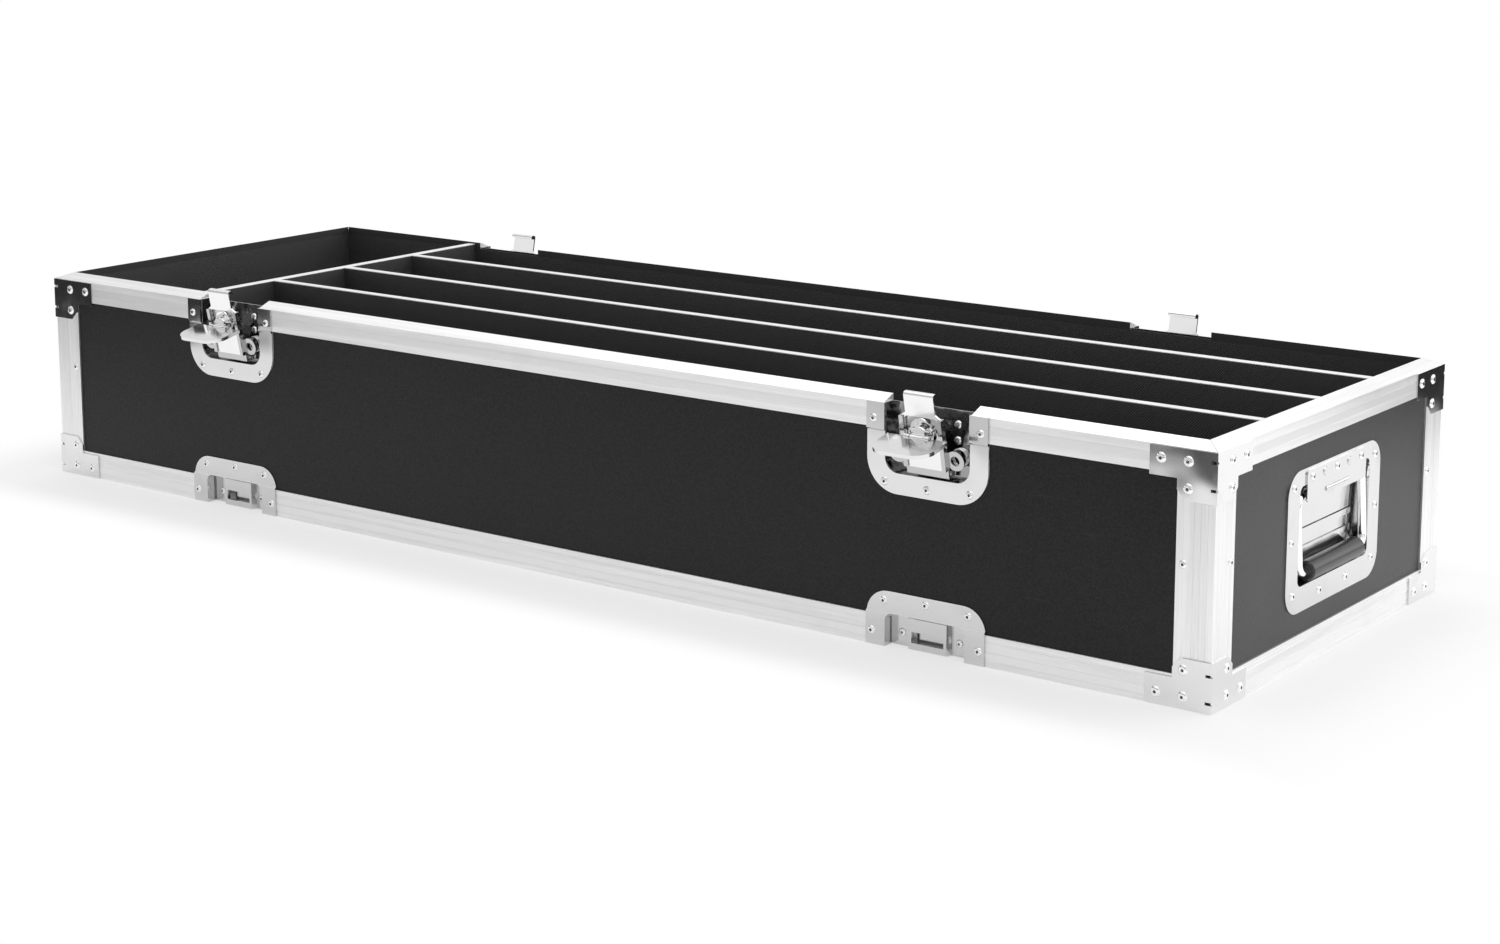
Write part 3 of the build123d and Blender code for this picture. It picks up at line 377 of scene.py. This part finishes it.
def finish_case():
    """Every CAD node gets its finish."""
    paint(["panel_front", "panel_back", "panel_bottom"],
          panel_laminate("panel_laminate_long", shine=0.2))
    paint(["panel_left", "panel_right"], panel_laminate("panel_laminate_ends", shine=0.38))

    lengthwise, crosswise, upright = (40, 1, 1), (1, 40, 1), (1, 1, 40)
    # The rims get the lift: painted light, lighter aluminium than the base angles, standing in for
    # the light falling on the rims
    paint(["rim_front", "rim_back"],
          drawn_aluminium("rim_aluminium_long", lengthwise, rim_bands, painted_lift=0.07, lap=front_lap))
    paint(["rim_left", "rim_right"],
          drawn_aluminium("rim_aluminium_ends", crosswise, rim_bands, painted_lift=0.07, lap=end_lap))
    paint(["base_angle_front", "base_angle_back"],
          drawn_aluminium("base_aluminium_long", lengthwise, base_bands))
    paint(["base_angle_left", "base_angle_right"],
          drawn_aluminium("base_aluminium_ends", crosswise, base_bands))
    paint(starting("corner_angle_"), drawn_aluminium("corner_aluminium", upright))

    paint(["corner_brackets"],
          chromed_sheet("corner_bracket_steel", light=0.7, rough=0.09, dent=0.0005))
    paint(starting("keeper_", "handle_dish", "handle_covers"),
          chromed_sheet("fitting_steel", light=0.62, rough=0.11, dent=0.0005))
    paint(starting("latch_dish"),
          chromed_sheet("latch_dish_steel", light=0.64, rough=0.09, dent=0.0005,
                        recess=dish_recess))
    paint(starting("latch_hook"),
          chromed_sheet("latch_hook_steel", light=0.8, rough=0.08, dent=0.0005))
    paint(starting("latch_wing"),
          chromed_sheet("latch_wing_steel", light=0.7, rough=0.1, dent=0.0008))
    # The carrier gets darker plating than the other latch parts: painted shade for its place deep
    # in the dish behind the hook's window
    paint(starting("latch_carrier"),
          chromed_sheet("latch_carrier_steel", light=0.5, rough=0.12, dent=0.0008))
    paint(starting("latch_spindle", "latch_hinge"),
          chromed_sheet("latch_spindle_steel", light=0.84, rough=0.06, dent=0.0004))

    paint(["corner_rivets", "latch_rivets", "handle_rivets"], nickel_rivet())
    paint(["latch_springs", "handle_springs"], spring_wire())
    paint(starting("handle_bail"), bail_chrome())
    paint(starting("handle_grip"), grip_rubber())
    paint(["wall_lining", "divider_front", "divider_middle", "divider_back", "divider_cross"],
          woven_lining())
    paint(["divider_caps"], cap_metal())


def put(name, mesh, material, body):
    """A new piece from a finished bmesh, riding on a body."""
    bmesh.ops.recalc_face_normals(mesh, faces=mesh.faces)
    data = bpy.data.meshes.new(name)
    mesh.to_mesh(data)
    mesh.free()
    for face in data.polygons:
        face.use_smooth = True
    piece = bpy.data.objects.new(name, data)
    bpy.context.scene.collection.objects.link(piece)
    data.materials.append(material)
    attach(piece, body)
    return piece


def foam_pad(name, low, high, material):
    """A foam pad between two corners, rolled over at its top edges and dimpled by hand cutting."""
    mesh = bmesh.new()
    bmesh.ops.create_cube(mesh, size=1.0)
    size = Vector(high) - Vector(low)
    bmesh.ops.scale(mesh, vec=size, verts=mesh.verts)
    bmesh.ops.translate(mesh, vec=(Vector(low) + Vector(high)) / 2, verts=mesh.verts)
    rolled = [e for e in mesh.edges if min(v.co.z for v in e.verts) > low[2] + size.z / 2
              or abs(e.verts[0].co.z - e.verts[1].co.z) > size.z / 2]
    bmesh.ops.bevel(mesh, geom=rolled, offset=pad_round, segments=3, profile=0.5, affect="EDGES",
                    material=-1)
    for axis, length in ((0, size.x), (1, size.y)):
        steps = round(length / pad_facet)
        for n in range(1, steps):
            cut = Vector((0, 0, 0))
            cut[axis] = low[axis] + length * n / steps
            way = Vector((0, 0, 0))
            way[axis] = 1
            bmesh.ops.bisect_plane(mesh, geom=mesh.verts[:] + mesh.edges[:] + mesh.faces[:],
                                   plane_co=cut, plane_no=way)
    for vert in mesh.verts:
        if vert.co.z > high[2] - top_tolerance:
            dimple = 0.5 + 0.5 * noise.noise(vert.co * dimples_per_metre)
            vert.co.z -= dimple_depth * dimple
    return put(name, mesh, material, "case")


def floor_pads():
    foam = floor_foam()
    pads = [foam_pad("pad_accessory_box", (box_end, -inner_half, pad_low),
                     (box_stop, inner_half, pad_high), foam)]
    edges = [-inner_half]
    for line in lane_lines:
        edges += [line - board_half - pad_gap, line + board_half + pad_gap]
    edges.append(inner_half)
    for n, (front, back) in enumerate(zip(edges[::2], edges[1::2]), 1):
        pads.append(foam_pad(f"pad_lane_{n}", (lane_start, front, pad_low),
                             (lane_end, back, pad_high), foam))
    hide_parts("floor_pads")


def studio_paper():
    """Pale paper that shows the soft shadow and then turns white. Metal mirrors it as the top of a
    table, with the dark room past its edges."""
    paper = new_finish("studio_paper")
    camera, mirror = paper.ray("Is Camera Ray"), paper.ray("Is Glossy Ray")
    tooth = paper.grain(size=0.004, detail=3.0).mix(grey(0.86), grey(0.9))
    matt = paper.node("ShaderNodeBsdfDiffuse", {}, {"Color": camera.mix(tooth, grey(0.37))})
    glow = paper.shine("ShaderNodeEmission", grey(1.0), 0.3 + camera * 0.27)
    lifted = paper.node("ShaderNodeAddShader", {}, {0: matt, 1: glow})
    near = paper.blend(camera + mirror, matt, lifted)

    side, end = abs(paper.along(y_way)), abs(paper.along(x_way))
    clear = ((side - case_half_depth) * side_hurry).larger(end - case_half_length).above(*fade)
    seen = paper.blend(camera * clear, near, paper.shine("ShaderNodeEmission", grey(1.0)))

    dim = abs(paper.along(x_way) - pale_middle).above(*pale_half)
    left = paper.along((-1.0, 0.0, 0.0)).above(*left_from) * side.above(*left_side)
    room = side.above(*table_side) * (pale_share + dim * (1 - pale_share))
    room = room.larger(end.above(*table_end)).larger(left)
    whole = paper.blend(mirror * room, seen, paper.shine("ShaderNodeEmission", grey(0.03)))
    paper.node("ShaderNodeOutputMaterial", {}, {"Surface": whole})
    return paper.owner


def studio_floor():
    """A plain pale floor that keeps the soft shadow."""
    mesh = bmesh.new()
    bmesh.ops.create_circle(mesh, cap_ends=True, segments=96, radius=floor_radius)
    data = bpy.data.meshes.new("studio_floor")
    mesh.to_mesh(data)
    mesh.free()
    floor = bpy.data.objects.new("studio_floor", data)
    bpy.context.scene.collection.objects.link(floor)
    data.materials.append(studio_paper())


def studio_world():
    """White all round for the camera; metal mirrors a dark opening above the near left."""
    world = bpy.data.worlds.new("studio_white")
    bpy.context.scene.world = world
    room = Finish(world, "Generated")
    near_left = room.along((-0.62, -0.78, 0.0)).above(0.0, 0.35)
    up = room.along(z_way)
    opening = near_left * up.above(0.26, 0.36) * (1 - up.above(0.46, 0.54))
    around = room.shine("ShaderNodeBackground", grey(1.0), 0.72)
    mirrored = room.shine("ShaderNodeBackground", opening.mix(grey(1.0), grey(0.04)))
    white = room.shine("ShaderNodeBackground", grey(1.0))
    light = room.blend(room.ray("Is Glossy Ray"), around, mirrored)
    whole = room.blend(room.ray("Is Camera Ray"), light, white)
    room.node("ShaderNodeOutputWorld", {}, {"Surface": whole})


def softbox(name, place, aim, size, power):
    lamp = bpy.data.lights.new(name, "AREA")
    lamp.shape = "RECTANGLE"
    lamp.size, lamp.size_y = size
    lamp.energy = power
    holder = bpy.data.objects.new(name, lamp)
    bpy.context.scene.collection.objects.link(holder)
    turn = (Vector(aim) - Vector(place)).to_track_quat("-Z", "Y")
    holder.matrix_world = Matrix.Translation(place) @ turn.to_matrix().to_4x4()


def studio_camera():
    """The photograph's viewpoint."""
    dip, heading = radians(9.81), radians(36.6)
    lens = bpy.data.cameras.new("studio_camera")
    lens.sensor_width = 36.0
    lens.lens = 66.105
    lens.shift_y = -0.12
    lens.clip_end = 50.0
    camera = bpy.data.objects.new("studio_camera", lens)
    camera.location = (1.49816, -1.92749, 0.63871)
    camera.rotation_euler = (tau / 4 - dip, 0.0, heading)
    bpy.context.scene.collection.objects.link(camera)
    bpy.context.scene.camera = camera


finish_case()
floor_pads()
studio_floor()
studio_world()
softbox("overhead_softbox", place=(0.3, 0.4, 2.4), aim=(0.0, 0.0, 0.1), size=(4.2, 3.0), power=36.0)
softbox("right_softbox", place=(2.6, 1.9, 1.1), aim=(0.5, 0.0, 0.1), size=(2.6, 2.0), power=24.0)
studio_camera()
bpy.context.scene.view_settings.view_transform = "Standard"
